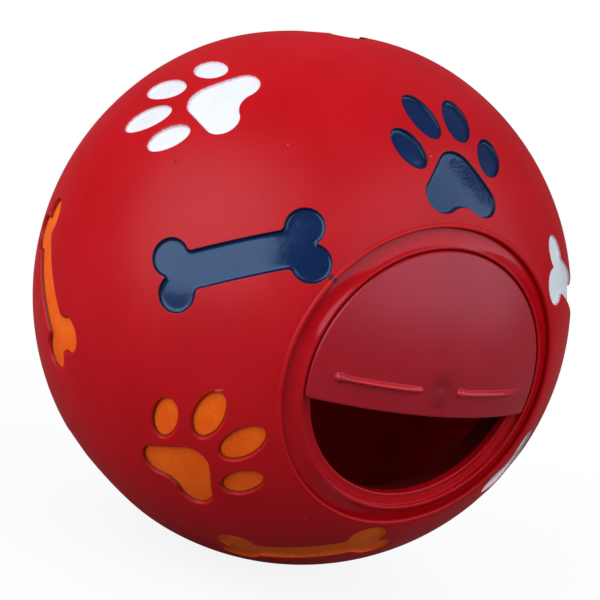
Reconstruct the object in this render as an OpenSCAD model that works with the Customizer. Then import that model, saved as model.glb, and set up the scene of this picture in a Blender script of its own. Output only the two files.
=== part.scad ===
// Treat dispensing ball: a hollow soft vinyl ball with moulded paw and bone pictures,
// a hard plastic port pressed into its side, and a turning half dome shutter on the port.
// The ball rests on the origin, +Z is up and the port looks along -Y.
// Each piece is drawn about the ball's centre with the port axis as its own +Z and up as +Y.

/* [Ball] */
// Outside diameter of the ball
ball_d = 110; // [106:1:130]
// Wall thickness of the soft shell
shell_wall = 2.5; // [2:0.1:3.5]
// Radius of the soft rounding on the lip round the port
lip_round = 0.7; // [0.4:0.05:1]
// Thickness of the lip that the port grips
lip_t = 3; // [2:0.1:4]

/* [Pictures] */
// Depth of the moulded pictures below the skin
recess_depth = 1; // [0.5:0.05:1.4]
// Thickness of the paint on the floor of a picture
paint_t = 0.2; // [0.1:0.05:0.4]
// Length of a bone between the centres of its end knobs
bone_reach = 26.2; // [22:0.1:28]
// Radius of each knob at the end of a bone
bone_knob_r = 3.55; // [3.4:0.05:3.8]
// Distance between the two knobs at one end of a bone
bone_knob_gap = 6.9; // [6.4:0.05:7]
// Width of a bone's shank
bone_shank_w = 7; // [6:0.1:7.4]
// Radius of the soft corner between shank and knob
bone_fillet_r = 1.2; // [0.6:0.1:2]
// Width of the big pad of a paw
pad_w = 16.2; // [15:0.1:17]
// Radius of the pad's top
pad_top_r = 4; // [3.5:0.1:4.5]
// Radius of the pad's two lobes
pad_lobe_r = 3.5; // [3.2:0.1:3.8]
// Distance from the centre of the pad's top to the centres of its lobes, along the paw
pad_step = 5.5; // [5:0.1:6]
// Depth of the notch between the lobes
pad_notch = 1.5; // [1.2:0.1:2]
// Distance of the pad's top centre below the outer toes
pad_drop = 4.4; // [4.2:0.1:5]
// Length of an inner toe
inner_toe_l = 11; // [9.5:0.1:11.4]
// Width of an inner toe
inner_toe_w = 5.8; // [5:0.1:6]
// Length of an outer toe
outer_toe_l = 9.3; // [8:0.1:9.6]
// Width of an outer toe
outer_toe_w = 5.3; // [4.6:0.1:5.6]
// Distance between the centres of the inner toes
inner_toe_gap = 8.3; // [8:0.1:8.8]
// Distance between the centres of the outer toes
outer_toe_gap = 19.2; // [18.8:0.1:20]
// Height of the inner toes above the outer toes
toe_step = 7.85; // [7.5:0.05:8.4]
// Lean of the inner toes
inner_lean = 13; // [8:1:16]
// Lean of the outer toes
outer_lean = 22; // [16:1:28]

/* [Port] */
// Radius of the throat that the treats fall through
throat_r = 24.1; // [22:0.1:25]
// Width of the ledge that the shutter turns on
seat_w = 2.3; // [1.8:0.1:2.6]
// Width of the crest round the ledge
crest_w = 0.5; // [0.4:0.05:0.8]
// Width of the sloping band outside the crest
band_w = 3.2; // [2.6:0.1:3.6]
// Rise of the sloping band from its outer edge to the crest
band_rise = 2.7; // [2.2:0.1:3.2]
// Depth of the ledge below the crest
seat_drop = 1; // [0.7:0.05:1.3]
// Gap between the band's outer edge and the soft lip
moat_w = 0.3; // [0.2:0.05:0.6]
// Drop of the band's outer edge below the skin at the lip
moat_drop = 1; // [0.6:0.1:1.6]
// Thickness of the flange at its outer edge
flange_t = 1.3; // [1:0.1:1.8]
// Thickness of the ledge
seat_t = 2.4; // [2.2:0.1:2.8]
// Width of the flange's underside that lies on the soft lip
grip_w = 2.1; // [1.6:0.1:2.6]
// Wall of the port's collar
collar_wall = 1.8; // [1.4:0.1:2.2]
// How far the snap bead stands out behind the soft lip
bead_w = 1.2; // [0.8:0.1:1.5]
// Length of the tapered snap bead
bead_l = 2.8; // [2:0.1:3.6]
// Thickness of the fixed half dome
plate_t = 1.6; // [1.3:0.05:1.7]
// Distance of the fixed half dome's straight edge below the centre
plate_edge = 4.7; // [4.5:0.05:4.8]
// Radius of the pivot boss on the fixed half dome
boss_r = 5; // [4.9:0.05:5.15]
// Height of the pivot boss, measured inwards from the fixed half dome's top
boss_l = 3.5; // [2.6:0.1:4.5]

/* [Shutter] */
// Rise of the shutter's dome above its rim
dome_rise = 6; // [5.5:0.1:6.5]
// Thickness of the shutter
shutter_t = 1.6; // [1.4:0.1:1.8]
// Thickness of the shutter at its rim
shutter_rim_t = 1.05; // [0.9:0.05:1.2]
// Distance of the shutter's straight edge below the centre
shutter_edge = 5.3; // [5.25:0.05:6]
// Radius of a finger rib's round back
rib_r = 0.75; // [0.5:0.05:1]
// Radius of the round end of a finger rib
rib_end_r = 0.9; // [0.75:0.05:1.1]
// Distance from the centre to the near end of a finger rib
rib_start = 3.8; // [3:0.1:6]
// Distance from the centre to the far end of a finger rib
rib_end = 21.4; // [16:0.1:22]
// Radius of the snap pin
pin_r = 3.6; // [3.3:0.05:3.7]
// Width of the slot that splits the snap pin
slot_w = 1.8; // [1.2:0.1:2.2]
// How far the snap pin's hooks stand out
hook_w = 0.65; // [0.4:0.05:0.8]
// Length of the snap pin's hooks
hook_l = 1.6; // [1:0.1:2.2]

/* [Clearances] */
// Radial clearance of the pin in its boss
pin_gap = 0.06; // [0.03:0.01:0.1]
// Gap under the shutter's rim and over the snap hooks
seat_gap = 0.15; // [0.1:0.01:0.3]
// Radial gap between the shutter and the crest
rim_gap = 0.3; // [0.2:0.05:0.5]
// Gap between the shutter and the fixed half dome
dome_gap = 0.5; // [0.4:0.05:0.6]
// Slack of the port in the soft lip
lip_gap = 0.05; // [0.02:0.01:0.1]

/* [Hidden] */
$fn = 96;
// One overrun serves every cut and every joined end
over = 1;
// Segments of a full turn in the outlines of pictures and profiles
turn_steps = 16;

ball_r = ball_d / 2;
inner_r = ball_r - shell_wall;
floor_r = ball_r - recess_depth;

// Radii of the port, from the throat outwards
seat_r = throat_r + seat_w;
crest_r = seat_r + crest_w;
flange_r = crest_r + band_w;
rebate_r = flange_r + moat_w;
waist_r = flange_r - grip_w;
lip_bore_r = waist_r + lip_gap;
collar_r = waist_r - collar_wall;
bead_r = waist_r + bead_w;

// Heights along the port axis, from the ball's centre
lip_arc_r = rebate_r + lip_round;
lip_arc_z = sqrt(pow(ball_r - lip_round, 2) - pow(lip_arc_r, 2));
lip_arc_end = 75;
band_z = sqrt(pow(ball_r, 2) - pow(lip_arc_r, 2)) - moat_drop;
crest_z = band_z + band_rise;
seat_z = crest_z - seat_drop;
rebate_z = band_z - flange_t;
lip_z = rebate_z - lip_t;
bead_z = lip_z - lip_gap;
port_end_z = bead_z - bead_l;

// The shutter's dome and the fixed half dome share one centre
shutter_r = seat_r - rim_gap;
shutter_z = seat_z + seat_gap;
rim_z = shutter_z + shutter_rim_t;
dome_r = (pow(shutter_r, 2) + pow(dome_rise, 2)) / (2 * dome_rise);
dome_z = rim_z + dome_rise - dome_r;
dome_inner_r = dome_r - shutter_t;
plate_r = dome_inner_r - dome_gap;
plate_inner_r = plate_r - plate_t;
boss_z = dome_z + plate_r - boss_l;
hook_z = boss_z - seat_gap;
pin_end_z = hook_z - hook_l;

// The seam of the ball's sphere runs where no picture crosses it
seam_clock = 297;

// The pictures: name, shape, colour, degrees from the port axis, degrees round it from +X
// towards +Z, and turn in degrees anticlockwise. A paw's toes and a bone's length start upright
// and level, where up is away from the port.
PICTURES = [
    ["paint_front_1_paw", "paw", "blue", 50.7, 88.9, 2],
    ["paint_front_2_bone", "bone", "blue", 51.2, 157.6, -45],
    ["paint_front_3_paw", "paw", "orange", 51.2, 212, -140],
    ["paint_front_4_bone", "bone", "orange", 51.5, 261, 46],
    ["paint_front_5_paw", "paw", "white", 50.7, 330, 0],
    ["paint_front_6_bone", "bone", "white", 52, 23.6, 46],
    ["paint_middle_1_bone", "bone", "blue", 104, 82, 26],
    ["paint_middle_2_paw", "paw", "white", 87.2, 136.4, 30],
    ["paint_middle_3_bone", "bone", "orange", 98.8, 185.4, 46],
    ["paint_middle_4_paw", "paw", "blue", 104, 234, 30],
    ["paint_middle_5_bone", "bone", "white", 92, 277, -45],
    ["paint_middle_6_paw", "paw", "orange", 89, 317, 30],
    ["paint_middle_7_bone", "bone", "blue", 94, 3, 46],
    ["paint_middle_8_paw", "paw", "orange", 91, 44, -20],
    ["paint_back_1_bone", "bone", "orange", 139, 70, 46],
    ["paint_back_2_paw", "paw", "orange", 133, 135, 170],
    ["paint_back_3_bone", "bone", "blue", 138, 203, -45],
    ["paint_back_4_paw", "paw", "white", 134, 262, 0],
    ["paint_back_5_bone", "bone", "orange", 133, 318, 46],
    ["paint_back_6_paw", "paw", "blue", 133, 20, -150],
];

vinyl_red = [0.78, 0.1, 0.14];
plastic_red = [0.7, 0.07, 0.1];
shutter_red = [0.72, 0.13, 0.18];

function paint_colour(name) =
    name == "blue" ? [0.08, 0.14, 0.32] : name == "orange" ? [0.95, 0.45, 0.1] : [0.95, 0.95, 0.97];

// Points of an arc that turns from angle a to angle b
function arc(c, r, a, b) =
    let (n = max(2, ceil(abs(b - a) * turn_steps / 360)))
    [for (i = [0:n]) c + r * [cos(a + (b - a) * i / n), sin(a + (b - a) * i / n)]];

// Points of one half of an outline, followed by their mirror image in the X axis or the Y axis.
// The ends of the half lie on the mirror, so they are not repeated.
function and_below(half) =
    concat(half, [for (i = [len(half) - 2:-1:1]) [half[i][0], -half[i][1]]]);
function and_left(half) =
    concat(half, [for (i = [len(half) - 2:-1:1]) [-half[i][0], half[i][1]]]);

// One quarter of a bone, from the notch between its knobs to its shank
function bone_quarter() =
    let (knob = [bone_reach, bone_knob_gap] / 2)
    let (notch_turn = acos(knob[1] / bone_knob_r))
    let (fillet_y = bone_shank_w / 2 + bone_fillet_r)
    let (span = bone_knob_r + bone_fillet_r)
    let (fillet_x = knob[0] - sqrt(pow(span, 2) - pow(fillet_y - knob[1], 2)))
    let (meet = atan2(fillet_y - knob[1], fillet_x - knob[0]))
    concat(
        arc(knob, bone_knob_r, notch_turn - 90, meet),
        arc([fillet_x, fillet_y], bone_fillet_r, meet - 180, -90)
    );

module bone_outline() {
    quarter = bone_quarter();
    other = [for (i = [len(quarter) - 1:-1:0]) [-quarter[i][0], quarter[i][1]]];
    polygon(and_below(concat(quarter, other)));
}

// The right half of a paw's pad, from the middle of its top to the middle of its notch
function pad_half() =
    let (top = [0, -pad_drop])
    let (lobe = [pad_w / 2 - pad_lobe_r, -pad_drop - pad_step])
    let (side = norm(lobe - top))
    let (lean = atan2(lobe[1] - top[1], lobe[0]) + acos((pad_top_r - pad_lobe_r) / side))
    let (rise = pad_lobe_r - pad_notch)
    let (bridge_r = (pow(lobe[0], 2) + pow(rise, 2) - pow(pad_lobe_r, 2)) / (2 * pad_notch))
    let (bridge = [0, lobe[1] - rise - bridge_r])
    let (meet = atan2(bridge[1] - lobe[1], -lobe[0]))
    concat(
        arc(top, pad_top_r, 90, lean),
        arc(lobe, pad_lobe_r, lean, meet),
        arc(bridge, bridge_r, meet + 180, 90)
    );

module pad_outline() {
    polygon(and_left(pad_half()));
}

module toe_outline(centre, length, width, lean) {
    translate(centre)
        rotate(lean)
            polygon([for (i = [0:turn_steps - 1])
                [width * cos(360 * i / turn_steps), length * sin(360 * i / turn_steps)] / 2]);
}

module paw_outline() {
    pad_outline();
    for (side = [-1, 1]) {
        toe_outline([side * inner_toe_gap / 2, toe_step], inner_toe_l, inner_toe_w, -side * inner_lean);
        toe_outline([side * outer_toe_gap / 2, 0], outer_toe_l, outer_toe_w, -side * outer_lean);
    }
}

// Stands a picture's outline up through the skin at its place on the ball
module picture(p) {
    reach = bone_reach / 2 + bone_knob_r + over;
    low = sqrt(pow(floor_r, 2) - pow(reach, 2)) - over;
    rotate([0, 0, p[4]])
        rotate([0, p[3], 0])
            rotate([0, 0, p[5] - 90])
                translate([0, 0, low])
                    linear_extrude(height = ball_r + over - low)
                        if (p[1] == "paw") paw_outline(); else bone_outline();
}

// Sets a piece on the ground with its port axis along -Y
module stand() {
    translate([0, 0, ball_r])
        rotate([90, 0, 0])
            children();
}

// A sphere about the ball's centre, its seam turned away from the pictures
module ball_sphere(r) {
    rotate([0, 0, seam_clock])
        sphere(r = r);
}

// The space that the port takes out of the shell. The lip's soft rounding ends as a slope that
// runs out through the skin.
module port_cut() {
    lip = arc([lip_arc_r, lip_arc_z], lip_round, 180, lip_arc_end);
    last = lip[len(lip) - 1];
    far_r = rebate_r + lip_t + over;
    top_z = ball_r + over;
    rotate_extrude()
        polygon(concat(
            [[0, lip_z - over], [lip_bore_r, lip_z - over], [lip_bore_r, rebate_z], [rebate_r, rebate_z]],
            lip,
            [[far_r, last[1] + (far_r - last[0]) * tan(lip_arc_end - 90)], [far_r, top_z], [0, top_z]]
        ));
}

module ball_shell() {
    ledge_r = sqrt(pow(inner_r, 2) - pow(lip_z, 2)) + shell_wall / 2;
    color(vinyl_red)
        stand()
            difference() {
                ball_sphere(ball_r);
                difference() {
                    ball_sphere(inner_r);
                    translate([0, 0, lip_z])
                        cylinder(r = ledge_r, h = ball_r);
                }
                port_cut();
                difference() {
                    for (p = PICTURES) picture(p);
                    ball_sphere(floor_r);
                }
            }
}

module paint(p) {
    color(paint_colour(p[2]))
        stand()
            intersection() {
                picture(p);
                difference() {
                    ball_sphere(floor_r + paint_t);
                    ball_sphere(floor_r);
                }
            }
}

// The turned part of the port: sloping band, crest, ledge, collar and snap bead
module port_ring() {
    rotate_extrude()
        polygon([
            [throat_r, seat_z],
            [seat_r, seat_z],
            [seat_r, crest_z],
            [crest_r, crest_z],
            [flange_r, band_z],
            [flange_r, rebate_z],
            [waist_r, rebate_z],
            [waist_r, bead_z],
            [bead_r, bead_z],
            [waist_r - lip_gap, port_end_z],
            [collar_r, port_end_z],
            [collar_r, seat_z - seat_t],
            [throat_r, seat_z - seat_t],
        ]);
}

// The fixed half dome behind the shutter, with its pivot boss
module half_dome() {
    reach = throat_r + seat_w / 4;
    intersection() {
        translate([0, 0, dome_z])
            sphere(r = plate_r);
        union() {
            difference() {
                translate([-reach, -plate_edge, port_end_z])
                    cube([2 * reach, plate_edge + reach, ball_r]);
                translate([0, 0, dome_z])
                    sphere(r = plate_inner_r);
            }
            translate([0, 0, boss_z])
                cylinder(r = boss_r, h = ball_r);
        }
        translate([0, 0, port_end_z])
            cylinder(r = reach, h = ball_r);
    }
}

module port_insert() {
    color(plastic_red)
        stand()
            difference() {
                union() {
                    port_ring();
                    half_dome();
                }
                translate([0, 0, boss_z - over])
                    cylinder(r = pin_r + pin_gap, h = boss_l + 2 * over);
            }
}

// One finger rib that follows the dome, on the +X side
module rib() {
    start = asin(rib_start / dome_r);
    end = asin(rib_end / dome_r);
    translate([0, 0, dome_z])
        rotate([90, 0, 0]) {
            rotate([0, 0, 90 - end])
                rotate_extrude(angle = end - start)
                    translate([dome_r, 0])
                        circle(r = rib_r);
            for (turn = [start, end])
                rotate([0, 0, 90 - turn])
                    translate([dome_r, 0, 0])
                        sphere(r = rib_end_r);
        }
}

// The split snap pin on the shutter's back
module snap_pin() {
    difference() {
        rotate_extrude()
            polygon([
                [0, dome_z + dome_inner_r + shutter_t / 2],
                [pin_r, dome_z + dome_inner_r + shutter_t / 2],
                [pin_r, hook_z],
                [pin_r + hook_w, hook_z],
                [pin_r - hook_w, pin_end_z],
                [0, pin_end_z],
            ]);
        translate([-pin_r - hook_w - over, -slot_w / 2, pin_end_z - over])
            cube([2 * (pin_r + hook_w + over), slot_w, boss_z + boss_l - pin_end_z + over]);
    }
}

module shutter() {
    color(shutter_red)
        stand() {
            difference() {
                intersection() {
                    translate([0, 0, dome_z])
                        sphere(r = dome_r);
                    translate([0, 0, shutter_z])
                        cylinder(r = shutter_r, h = ball_r);
                    translate([-ball_r, -shutter_edge, shutter_z - over])
                        cube([ball_d, ball_d, ball_r]);
                }
                translate([0, 0, dome_z])
                    sphere(r = dome_inner_r);
            }
            for (turn = [0, 180])
                rotate([0, 0, turn])
                    rib();
            snap_pin();
        }
}

ball_shell();
port_insert();
shutter();
for (p = PICTURES) paint(p);
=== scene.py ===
# %% [markdown]
# # Treat dispensing ball
# A soft vinyl ball, rotation moulded, with paws and bones sunk into its skin and painted, a hard plastic
# plug pressed into a hole in its side, and a half dome that turns on the plug to open or close the hole.
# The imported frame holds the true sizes. This lesson builds the same pieces again as fine meshes, with
# soft edges, paint that climbs the walls, and materials.

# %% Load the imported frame
from math import acos, asin, atan2, ceil, cos, degrees, hypot, pi, radians, sin, sqrt, tan

import bpy
import numpy as np
from mathutils import Matrix, Vector
from mathutils.geometry import delaunay_2d_cdt
from mathutils.kdtree import KDTree


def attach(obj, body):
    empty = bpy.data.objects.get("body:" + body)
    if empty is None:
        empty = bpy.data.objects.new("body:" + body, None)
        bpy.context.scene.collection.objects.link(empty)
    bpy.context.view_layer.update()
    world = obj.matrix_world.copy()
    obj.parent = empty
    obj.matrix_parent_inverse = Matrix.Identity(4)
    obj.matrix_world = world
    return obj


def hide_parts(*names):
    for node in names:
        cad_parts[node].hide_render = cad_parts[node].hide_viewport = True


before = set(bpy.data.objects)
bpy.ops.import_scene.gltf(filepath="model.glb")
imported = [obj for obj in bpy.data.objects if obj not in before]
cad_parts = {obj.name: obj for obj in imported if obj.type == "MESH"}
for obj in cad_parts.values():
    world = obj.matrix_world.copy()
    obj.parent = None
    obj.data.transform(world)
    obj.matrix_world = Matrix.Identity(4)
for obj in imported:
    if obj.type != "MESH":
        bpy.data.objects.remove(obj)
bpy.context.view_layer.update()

# %% [markdown]
# ## Sizes
# The sizes are in millimetres and repeat the CAD source, because the ball is made to a drawing: the plug
# has to snap into the lip, and the shutter has to turn on the plug. The port frame has its origin at
# the ball's centre, +Z out of the port and +Y up, so every turned piece is a plain lathe about +Z.

# %% Sizes in millimetres
mm = 0.001

# the ball's skin, its cavity, the floor of its pockets and the coat of paint on it
ball_r, inner_r, floor_r = 55.0, 52.5, 54.0
paint_t = 0.2

# the bone: how far apart its knobs are along and across, their radius, the shank and the arcs between
bone_reach, knob_r, knob_gap, shank_w, shank_fillet_r = 26.2, 3.55, 6.9, 7.0, 1.2
notch_r = 0.5

# the paw: its pad, then the length, width and lean of its toes, and where the toes stand
pad_w, pad_top_r, pad_lobe_r, pad_step, pad_notch, pad_drop = 16.2, 4.0, 3.5, 5.5, 1.5, 4.4
inner_toe, outer_toe = (11.0, 5.8, 13.0), (9.3, 5.3, 22.0)
inner_toe_gap, outer_toe_gap, toe_step = 8.3, 19.2, 7.85

# the plug: radii from the throat outwards, then heights from the crest down to the collar's end
throat_r, seat_r, crest_r, flange_r = 24.1, 26.4, 26.9, 30.1
waist_r, lip_bore_r, collar_r, bead_r = 28.0, 28.05, 26.2, 29.2
lip_mouth_r = 31.1
band_z = sqrt(ball_r ** 2 - lip_mouth_r ** 2) - 1.0
crest_z, seat_z, rebate_z = band_z + 2.7, band_z + 1.7, band_z - 1.3
lip_z = rebate_z - 3.0
bead_z, port_end_z = lip_z - 0.05, lip_z - 2.85
seat_under_z = seat_z - 2.4

# the shutter, the fixed half dome under it, and the boss and split pin that join them
shutter_r, shutter_z, shutter_edge, shutter_t = 26.1, seat_z + 0.15, 5.3, 1.6
rim_z = shutter_z + 1.05
dome_r = (shutter_r ** 2 + 6.0 ** 2) / 12.0
dome_z = rim_z + 6.0 - dome_r
dome_inner_r = dome_r - shutter_t
plate_r, plate_edge, plate_reach = dome_inner_r - 0.5, 4.7, 24.6
plate_inner_r = plate_r - 1.6
boss_r, bore_r, pin_r, slot_w, hook_w = 5.0, 3.66, 3.6, 1.8, 0.65
boss_z = dome_z + plate_r - 3.5
hook_z, pin_end_z = boss_z - 0.15, boss_z - 1.75
print(f"port ledge at {seat_z:.2f} mm, crest at {crest_z:.2f} mm, dome radius {dome_r:.2f} mm")

# %% [markdown]
# ### The twenty pictures
# Six pictures ring the port, eight ring the ball's middle and six ring its back. A table with two angles and
# a turn for each is enough, because every paw and every bone has the same shape. Those that face the lens
# were measured on the photograph, and the others continue its pattern of shapes and colours.

# %% The pictures' places
# name, shape, colour, degrees from the port axis, degrees round it, turn
pictures = [
    ("front_1_paw", "paw", "blue", 50.7, 88.9, 2),
    ("front_2_bone", "bone", "blue", 51.2, 157.6, -45),
    ("front_3_paw", "paw", "orange", 51.2, 212, -140),
    ("front_4_bone", "bone", "orange", 51.5, 261, 46),
    ("front_5_paw", "paw", "white", 50.7, 330, 0),
    ("front_6_bone", "bone", "white", 52, 23.6, 46),
    ("middle_1_bone", "bone", "blue", 104, 82, 26),
    ("middle_2_paw", "paw", "white", 87.2, 136.4, 30),
    ("middle_3_bone", "bone", "orange", 98.8, 185.4, 46),
    ("middle_4_paw", "paw", "blue", 104, 234, 30),
    ("middle_5_bone", "bone", "white", 92, 277, -45),
    ("middle_6_paw", "paw", "orange", 89, 317, 30),
    ("middle_7_bone", "bone", "blue", 94, 3, 46),
    ("middle_8_paw", "paw", "orange", 91, 44, -20),
    ("back_1_bone", "bone", "orange", 139, 70, 46),
    ("back_2_paw", "paw", "orange", 133, 135, 170),
    ("back_3_bone", "bone", "blue", 138, 203, -45),
    ("back_4_paw", "paw", "white", 134, 262, 0),
    ("back_5_bone", "bone", "orange", 133, 318, 46),
    ("back_6_paw", "paw", "blue", 133, 20, -150),
]
print(len(pictures), "pictures,", sum(shape == "paw" for _, shape, *_ in pictures), "of them paws")

# %% [markdown]
# ## From the port frame to the floor
# All pieces are drawn in the port frame and set on the floor at the end. Soft vinyl isn't quite round: the
# photograph's outline lies inside a true circle at two places, as if the skin had settled while it cooled.
# A smooth dip draws the skin and the paint on it inwards there. It is wide and has no edge, so the
# normals of the true sphere still serve.

# %% Standing and settling
def stand(points):
    """Points of the port frame in mm, set on the ground in metres."""
    return np.column_stack([points[:, 0], -points[:, 2], points[:, 1] + ball_r]) * mm


# direction in the port frame, depth in mm and spread in degrees, read off the photograph's outline
slack_spots = [((-0.011, 0.954, -0.299), 1.15, 17), ((-0.562, -0.816, -0.137), 1.0, 9)]


def slackened(points):
    """Points of the soft skin, drawn in where the photograph's ball is out of round."""
    way = points / np.linalg.norm(points, axis=1, keepdims=True)
    drawn = np.zeros(len(points))
    for spot, deep, spread in slack_spots:
        angle = np.degrees(np.arccos(np.clip(way @ (np.array(spot) / np.linalg.norm(spot)), -1, 1)))
        drawn += deep * np.exp(-(angle / spread) ** 2)
    return points - way * drawn[:, None]


print("skin drawn in by", [deep for _, deep, _ in slack_spots], "mm")

# %% [markdown]
# ## Growing a mesh
# Each piece grows as rows of points with their true surface normals. A plain average of face normals
# would leave ripples where small triangles meet large ones, and soft vinyl shows them at once in its
# broad highlight. So every row carries the normal of the curve that it was drawn from. A row may also
# carry a tint, such as the mist of spray on a wall or painted shade, which the finishes read later.

# %% A mesh of rows
class Growing:
    """A mesh that grows by rows of points and their normals, in the port frame."""

    def __init__(self):
        self.points, self.normals, self.tints, self.faces, self.count = [], [], [], [], 0

    def row(self, points, normals, tint=(0, 0, 0, 0)):
        points = np.asarray(points, float)
        self.points.append(points)
        self.normals.append(np.broadcast_to(normals, points.shape))
        self.tints.append(np.broadcast_to(tint, (len(points), 4)))
        self.count += len(points)
        return np.arange(self.count - len(points), self.count)

    def join(self, *rows):
        """Quads from each closed row to the next, which has as many points."""
        for a, b in zip(rows, rows[1:]):
            self.faces += np.column_stack([a, np.roll(a, -1), np.roll(b, -1), b]).tolist()

    def fan(self, row, tip, normal, tint=(0, 0, 0, 0)):
        """Closes a row with triangles to one new point."""
        tip = self.row([tip], [normal], tint)[0]
        self.faces += [[int(a), int(b), int(tip)] for a, b in zip(row, np.roll(row, -1))]

    def object(self, name, material, body, node, slot, soft=False):
        """The finished piece, with its faces turned to its normals and its place in the frame."""
        points = np.vstack(self.points)
        points = stand(slackened(points) if soft else points)
        n = np.vstack(self.normals)
        n = np.column_stack([n[:, 0], -n[:, 2], n[:, 1]])
        n /= np.linalg.norm(n, axis=1, keepdims=True)
        corners = np.array([face if len(face) == 4 else [*face, face[-1]] for face in self.faces])
        spans = [points[corners[:, k + 2]] - points[corners[:, k]] for k in (0, 1)]
        facing = np.cross(*spans)
        wrong = (facing * n[corners].sum(axis=1)).sum(axis=1) < 0
        faces = [face[::-1] if flip else face for face, flip in zip(self.faces, wrong)]
        mesh = bpy.data.meshes.new(name)
        mesh.from_pydata(points.tolist(), [], faces)
        mesh.validate()
        mesh.shade_smooth()
        layer = mesh.attributes.new("row_tint_and_shade", "FLOAT_COLOR", "POINT")
        layer.data.foreach_set("color", np.vstack(self.tints).astype(np.float32).ravel())
        mesh.normals_split_custom_set_from_vertices(n.tolist())
        mesh.materials.append(material)
        piece = bpy.data.objects.new(name, mesh)
        bpy.context.scene.collection.objects.link(piece)
        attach(piece, body)
        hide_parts(node)
        return piece


trial = Growing()
trial.join(*(trial.row([(0, 0, z), (1, 0, z), (0, 1, z)], (0, 0, 1)) for z in (0, 1)))
print("two rows of three points make", len(trial.faces), "quads")

# %% [markdown]
# ### Spots between the rows
# Between the drawn rows a surface is filled with spots that stand evenly, as the cells of a honeycomb do.
# A square grid would be simpler, but its triangles have one long side. Spots that fall outside a loop
# or too close to a row are left out before they are joined.

# %% Spots
def circle(radius, count):
    turn = np.linspace(0, 2 * pi, count, endpoint=False)
    return np.column_stack([np.cos(turn), np.sin(turn)]) * radius


def raised(flat, height):
    """Flat points at one height, or each at its own."""
    return np.column_stack([flat, np.broadcast_to(height, len(flat))])


def hexagons(low, high, step):
    """Spots in a box, with every second row half a step aside."""
    across = np.arange(low[0], high[0], step)
    along = np.arange(low[1], high[1], step * sqrt(3) / 2)
    return np.array([(x + (i % 2) * step / 2, y) for i, y in enumerate(along) for x in across])


def inside(points, loop):
    """Which 2D points lie in a closed 2D loop."""
    x, y = points[:, 0][:, None], points[:, 1][:, None]
    ax, ay = loop[:, 0], loop[:, 1]
    bx, by = np.roll(ax, -1), np.roll(ay, -1)
    with np.errstate(divide="ignore", invalid="ignore"):
        crossing = ((ay > y) != (by > y)) & (x < (bx - ax) * (y - ay) / (by - ay) + ax)
    return crossing.sum(axis=1) % 2 == 1


def apart(points, others, gap):
    """Which 2D or 3D points lie further than gap from every one of the others."""
    tree = KDTree(len(others))
    wide = np.zeros((len(others), 3))
    wide[:, :others.shape[1]] = others
    for i, p in enumerate(wide):
        tree.insert(p, i)
    tree.balance()
    probe = np.zeros((len(points), 3))
    probe[:, :points.shape[1]] = points
    return np.array([tree.find(p)[2] > gap for p in probe])


print("spots on a square centimetre, 1 mm apart:", len(hexagons((0, 0), (10, 10), 1.0)))

# %% [markdown]
# ### Triangles between the spots
# Delaunay triangles join the spots, because they avoid slivers. Blender's own routine finds them in the
# plane, and keeps the edges of the rows.

# %% Triangles
def following(rows):
    """Loops of indices, for rows of points that follow each other in one list."""
    ends = np.cumsum([len(row) for row in rows])
    return [np.arange(end - len(row), end) for row, end in zip(rows, ends)]


def triangles(points, loops):
    """Triangles on 2D points whose closed loops of indices are kept as edges."""
    edges = [(int(a), int(b)) for loop in loops for a, b in zip(loop, np.roll(loop, -1))]
    made = delaunay_2d_cdt([Vector(p) for p in points], edges, [], 0, 1e-9, True)
    first = [ids[0] if ids else -1 for ids in made[3]]
    found = np.array([[first[i] for i in face] for face in made[2]])
    return found[(found >= 0).all(axis=1)]


print("a loop of eight points closes with", len(triangles(circle(1, 8), [np.arange(8)])), "triangles")

# %% [markdown]
# ## Outlines of the pictures
# A bone is four round knobs on a waisted shank, and a paw is a pad with two lobes and four oval toes.
# Each outline is a chain of arcs that meet smoothly, as the cutter that made the mould would leave them.
# Every point keeps its outward normal, so the same outline can be drawn wider or narrower at each depth.

# %% Chains of arcs
outline_step = 0.38


def arc(centre, radius, start, end, hollow=False):
    """Points and outward normals of an arc, with its centre outside the shape where it is hollow."""
    count = max(3, ceil(abs(radians(end - start)) * radius / outline_step))
    turn = np.radians(np.linspace(start, end, count + 1))
    out = np.column_stack([np.cos(turn), np.sin(turn)])
    return np.hstack([np.asarray(centre) + radius * out, -out if hollow else out])


def spaced(line):
    """The closed line of points and normals with no repeats, and with long straights filled in."""
    far = np.linalg.norm(line[:, :2] - np.roll(line[:, :2], 1, axis=0), axis=1) > 1e-6
    line = line[far]
    rows = []
    for a, b in zip(line, np.roll(line, -1, axis=0)):
        steps = max(1, ceil(np.linalg.norm(b[:2] - a[:2]) / (1.4 * outline_step)))
        rows += [a + (b - a) * i / steps for i in range(steps)]
    return np.array(rows)


def mirrored(line, axis):
    """The line seen in a mirror, last point first: axis 0 is left and right, 1 is up and down."""
    line = line[::-1].copy()
    line[:, axis] *= -1
    line[:, axis + 2] *= -1
    return line


print("a fillet of the shank takes", len(arc((0, 0), shank_fillet_r, 0, 90)), "points for a quarter turn")

# %% [markdown]
# ### Bone
# The bone is the same in all four quarters, so one quarter is drawn and mirrored twice. It starts at the
# notch between the two knobs, runs round a knob, and meets the straight shank through a hollow fillet.

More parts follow.
